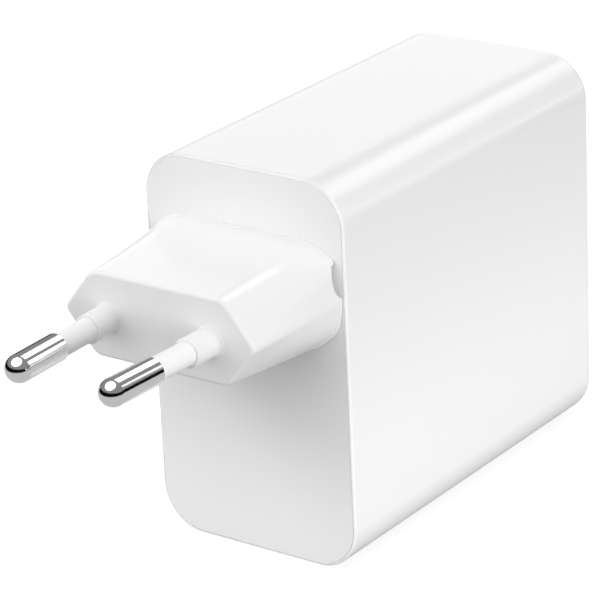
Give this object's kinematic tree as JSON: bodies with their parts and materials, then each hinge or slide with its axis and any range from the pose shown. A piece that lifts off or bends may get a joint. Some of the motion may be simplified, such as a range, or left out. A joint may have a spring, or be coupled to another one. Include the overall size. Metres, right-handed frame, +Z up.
{
  "type": "laptop power adapter",
  "caption": "Narrow glossy wall-mounted power adapter for a laptop, with a pull-off mains plug head on its front cover and a reversible output socket in its rear wall.",
  "frame": {"origin": "middle of the flat base face that the case stands on, half way along its depth", "axes": "+Z up; +Y along the case's depth from the front cover to the output socket, so the pins point to -Y; +X to the right as seen from the pins"},
  "size_m": [0.037, 0.1152, 0.0634],
  "materials": {
    "white_gloss_plastic": "polished moulded plastic",
    "white_satin_plastic": "satin moulded plastic",
    "polished_nickel": "bright nickel plate",
    "brass": "satin",
    "spring_steel": "rolled strip",
    "aluminium": "mill finish",
    "clear_sheet": "translucent film",
    "board_green": "solder resist over glass laminate",
    "copper": "copper, satin",
    "ferrite": "sintered, matt",
    "black_plastic": "moulded, matt",
    "yellow_tape": "film tape",
    "blue_sleeve": "shrink sleeve",
    "green_disc": "dipped coating",
    "grey_pad": "soft silicone",
    "glass_tube": "glossy tube with plated caps"
  },
  "bodies": {
    "case": {"housing_shell": "white_gloss_plastic", "front_cover": "white_gloss_plastic", "output_socket_shell": "polished_nickel", "inlet_pin_left": "brass", "inlet_pin_right": "brass", "detent_spring_left": "spring_steel", "detent_spring_right": "spring_steel", "heat_spreader_left": "aluminium", "heat_spreader_right": "aluminium", "transistor_heat_sink": "aluminium", "output_capacitor_lower": "aluminium", "output_capacitor_upper": "aluminium", "insulation_sheet_left": "clear_sheet", "insulation_sheet_right": "clear_sheet", "main_board": "board_green", "output_board": "board_green", "mains_strip_left": "copper", "mains_strip_right": "copper", "choke_winding_lower": "copper", "choke_winding_upper": "copper", "choke_core": "ferrite", "transformer_core_lower": "ferrite", "transformer_core_upper": "ferrite", "bridge_rectifier": "black_plastic", "transformer_bobbin": "black_plastic", "switching_transistor": "black_plastic", "optocoupler": "black_plastic", "primary_controller": "black_plastic", "output_rectifier": "black_plastic", "board_header": "black_plastic", "output_socket_tongue": "black_plastic", "mains_filter_capacitor": "yellow_tape", "transformer_winding": "yellow_tape", "bulk_capacitor_lower": "blue_sleeve", "bulk_capacitor_upper": "blue_sleeve", "bridging_capacitor": "blue_sleeve", "inrush_thermistor": "green_disc", "thermal_pad": "grey_pad", "fuse": "glass_tube"},
    "plug_head": {"plug_head_shell": "white_gloss_plastic", "plug_head_back": "white_satin_plastic", "plug_pin_left": "polished_nickel", "plug_pin_right": "polished_nickel", "pin_sleeve_left": "white_satin_plastic", "pin_sleeve_right": "white_satin_plastic", "socket_contact_left": "brass", "socket_contact_right": "brass"}
  },
  "joints": [
    {"name": "head_slide", "type": "slide", "parent": "case", "child": "plug_head", "axis": [0, -1, 0], "range_m": [0, 0.025]}
  ]
}
